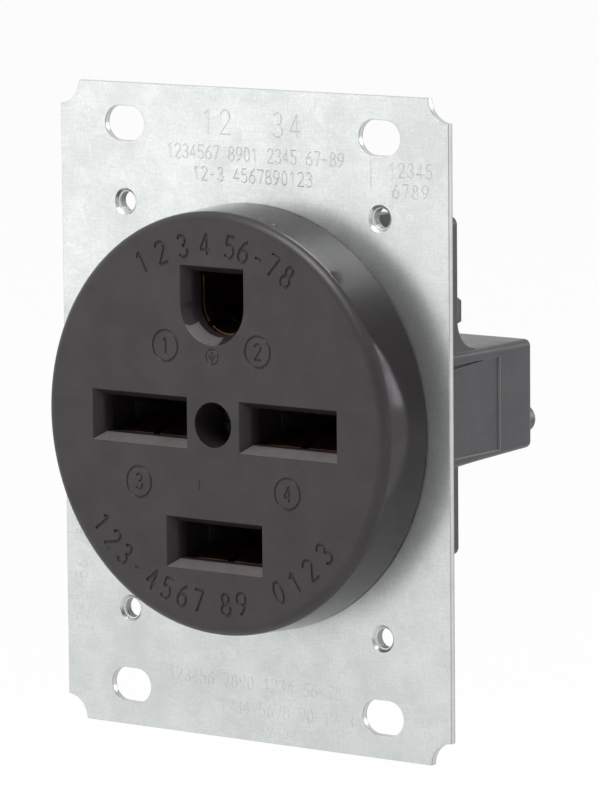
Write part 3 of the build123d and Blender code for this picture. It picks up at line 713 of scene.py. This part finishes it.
def make_strap():
    """Strap with faint stamped rows of figures and the strip-length line."""
    piece = fresh_copy("mounting_strap", "strap_stamped")
    rows = [stroke for row in UPPER_ROWS for stroke in stamped_row(row)]
    rows.append(STRIP_LINE)
    rows += [stroke for row in LOWER_ROWS for stroke in stamped_row(row)]
    rows += stamped_row(UPRIGHT_ROW, math.pi / 2)
    cut_grooves(piece, [
        cutter("stamped_rows", rows, STRAP_FRONT_Y, 0.13 * MM, 0.05 * MM, facets=1),
    ])
    smooth(piece)
    piece.data.materials.clear()
    piece.data.materials.append(strap_steel)
    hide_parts("mounting_strap")
    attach(piece, "root")


# Studio: a pale floor well below the part, a white surround that darkens to one side, and soft lamps
FLOOR_DROP = 75 * MM
FLOOR_SIZE = 7.0
FLOOR_SHARE = 0.94
FLOOR_GREYS = ((0.90, 0.90, 0.90), (0.92, 0.92, 0.92))
AMBIENT = 0.55
DARK_SIDE = (0.60, -0.79, 0.14)
WHITE = (1.0, 1.0, 1.0)
# Soft lamps that face the origin: name, place, width, height, watts and colour
LAMPS = (
    ("key", (0.08, -0.60, 1.0), 0.6, 0.5, 10.5, WHITE),
    ("side_window", (0.52, 0.67, 0.235), 0.28, 0.38, 0.92, (0.97, 0.94, 1.0)),
    ("strap_sheen", (-0.41, -0.47, 0.04), 0.22, 0.25, 0.16, WHITE),
)


def white_to_eye(tree, mirrored):
    """1 for camera and transmission rays and the mirrored share for glossy rays, else 0."""
    path = tree.nodes.new("ShaderNodeLightPath")
    glossy = maths(tree, "MULTIPLY", path.outputs["Is Glossy Ray"], mirrored)
    seen = maths(tree, "MAXIMUM", path.outputs["Is Camera Ray"], glossy)
    return maths(tree, "MAXIMUM", seen, path.outputs["Is Transmission Ray"])


def make_world():
    """White surround for the eye, with a soft ambient light and one darker side in reflections."""
    world = bpy.data.worlds.new("surround")
    bpy.context.scene.world = world
    world.use_nodes = True
    tree = world.node_tree
    tree.nodes.clear()
    output = tree.nodes.new("ShaderNodeOutputWorld")
    background = tree.nodes.new("ShaderNodeBackground")
    background.inputs["Color"].default_value = (1, 1, 1, 1)
    towards = tree.nodes.new("ShaderNodeVectorMath")
    towards.operation = "DOT_PRODUCT"
    feed(tree, towards.inputs[0], tree.nodes.new("ShaderNodeTexCoord").outputs["Generated"])
    towards.inputs[1].default_value = DARK_SIDE
    mirrored = spread(tree, towards.outputs["Value"], 0.70, 0.95, 1.0, 0.3)
    strength = maths(tree, "MAXIMUM", white_to_eye(tree, mirrored), AMBIENT)
    feed(tree, background.inputs["Strength"], strength)
    tree.links.new(background.outputs["Background"], output.inputs["Surface"])


def make_floor():
    """Pale floor that glows white to the eye and keeps a share of the object's shadow."""
    size = FLOOR_SIZE
    low = STRAP_LOW.z - FLOOR_DROP
    mesh = bpy.data.meshes.new("floor")
    corners = [(-size, -size, low), (size, -size, low), (size, size, low), (-size, size, low)]
    mesh.from_pydata(corners, [], [(0, 1, 2, 3)])
    floor = bpy.data.objects.new("floor", mesh)
    bpy.context.scene.collection.objects.link(floor)
    material, tree, shader = new_material("floor_paper")
    place = place_of(tree)
    tone = spread(tree, noise(tree, place, 2 * MM, 2.0), 0.3, 0.7, 0, 1)
    feed(tree, shader.inputs["Base Color"], blend_colours(tree, tone, *FLOOR_GREYS))
    shader.inputs["Roughness"].default_value = 0.9
    glow = tree.nodes.new("ShaderNodeEmission")
    glow.inputs["Strength"].default_value = 1.0
    mix = tree.nodes.new("ShaderNodeMixShader")
    measure = tree.nodes.new("ShaderNodeVectorMath")
    measure.operation = "LENGTH"
    feed(tree, measure.inputs[0], place)
    # Near the middle the floor glows less to glossy rays: painted shade that the strap reflects
    mirrored = spread(tree, measure.outputs["Value"], 0.45, 1.5, 0.60, 1.0)
    glowing = maths(tree, "MULTIPLY", white_to_eye(tree, mirrored), FLOOR_SHARE)
    feed(tree, mix.inputs["Fac"], glowing)
    tree.links.new(shader.outputs["BSDF"], mix.inputs[1])
    tree.links.new(glow.outputs["Emission"], mix.inputs[2])
    tree.links.new(mix.outputs["Shader"], tree.nodes["Material Output"].inputs["Surface"])
    floor.data.materials.append(material)


def make_lamp(name, place, width, height, watts, colour):
    data = bpy.data.lights.new(name, "AREA")
    data.shape = "RECTANGLE"
    data.size = width
    data.size_y = height
    data.energy = watts
    data.color = colour
    lamp = bpy.data.objects.new(name, data)
    lamp.location = place
    lamp.rotation_mode = "QUATERNION"
    lamp.rotation_quaternion = (-Vector(place)).to_track_quat("-Z", "Y")
    bpy.context.scene.collection.objects.link(lamp)


make_camera()
dress_nodes()
make_face()
make_strap()
make_world()
make_floor()
for lamp_row in LAMPS:
    make_lamp(*lamp_row)

bpy.context.scene.view_settings.view_transform = "Standard"
